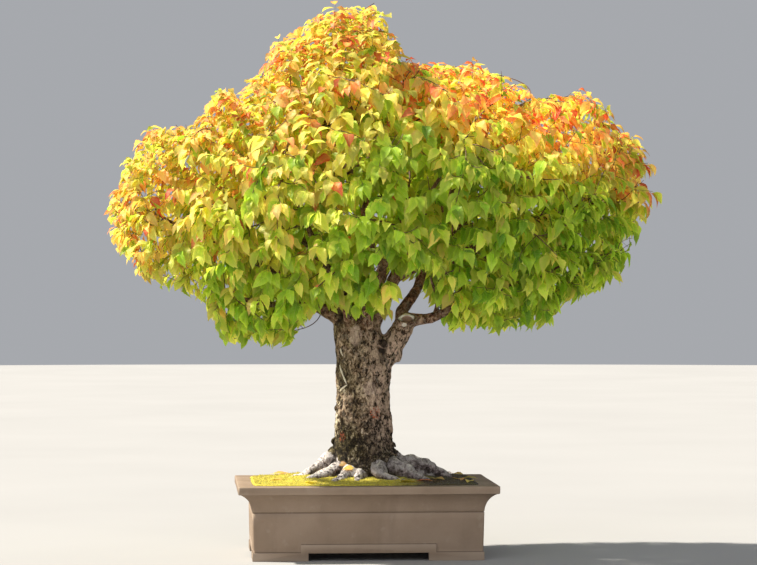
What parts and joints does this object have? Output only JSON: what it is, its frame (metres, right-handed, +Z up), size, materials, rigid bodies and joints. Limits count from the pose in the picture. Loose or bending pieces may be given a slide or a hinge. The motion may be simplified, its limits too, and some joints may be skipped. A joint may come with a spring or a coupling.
{
  "type": "potted bonsai tree",
  "caption": "Broad-crowned deciduous bonsai with toothed leaves on leafy sprays, spreading surface roots and moss, in a rectangular lipped clay pot on corner feet.",
  "frame": {"origin": "middle of the bounding box in plan, at the height of the undersides of the pot feet", "axes": "+Z up, +X to the right and +Y away from the viewer of the front; the pot is long along X, and the front of the tree faces -Y"},
  "size_m": [1.1499, 0.7634, 1.17],
  "materials": {
    "clay": "matt, unglazed fired clay",
    "drain_mesh": "thin plastic screen",
    "soil": "moist granular soil, matt",
    "moss": "low moss cushion, matt",
    "bark": "rough flaking bark",
    "leaf_green": "thin green leaf, satin",
    "leaf_yellow": "thin yellow autumn leaf, satin",
    "leaf_orange": "thin orange autumn leaf, satin"
  },
  "bodies": {
    "root": {"pot": "clay", "drain_screen_left": "drain_mesh", "drain_screen_right": "drain_mesh", "soil": "soil", "moss": "moss", "tree_wood": "bark", "leafy_spray_01": "leaf_orange", "leafy_spray_02": "leaf_orange", "leafy_spray_03": "leaf_yellow", "leafy_spray_04": "leaf_green", "leafy_spray_05": "leaf_green", "leafy_spray_06": "leaf_green", "leafy_spray_07": "leaf_yellow", "leafy_spray_08": "leaf_green", "leafy_spray_09": "leaf_yellow", "leafy_spray_10": "leaf_green", "leafy_spray_11": "leaf_yellow", "leafy_spray_12": "leaf_green", "leafy_spray_13": "leaf_green", "leafy_spray_14": "leaf_green", "leafy_spray_15": "leaf_yellow", "leafy_spray_16": "leaf_yellow", "leafy_spray_17": "leaf_green", "leafy_spray_18": "leaf_green", "leafy_spray_19": "leaf_yellow", "leafy_spray_20": "leaf_orange", "leafy_spray_21": "leaf_green", "leafy_spray_22": "leaf_green", "leafy_spray_23": "leaf_green", "leafy_spray_24": "leaf_yellow", "leafy_spray_25": "leaf_green", "leafy_spray_26": "leaf_green", "leafy_spray_27": "leaf_green", "leafy_spray_28": "leaf_yellow", "leafy_spray_29": "leaf_green", "leafy_spray_30": "leaf_green", "leafy_spray_31": "leaf_green", "leafy_spray_32": "leaf_green", "leafy_spray_33": "leaf_green", "leafy_spray_34": "leaf_green", "leafy_spray_35": "leaf_orange", "leafy_spray_36": "leaf_yellow", "leafy_spray_37": "leaf_yellow", "leafy_spray_38": "leaf_yellow"}
  },
  "joints": []
}
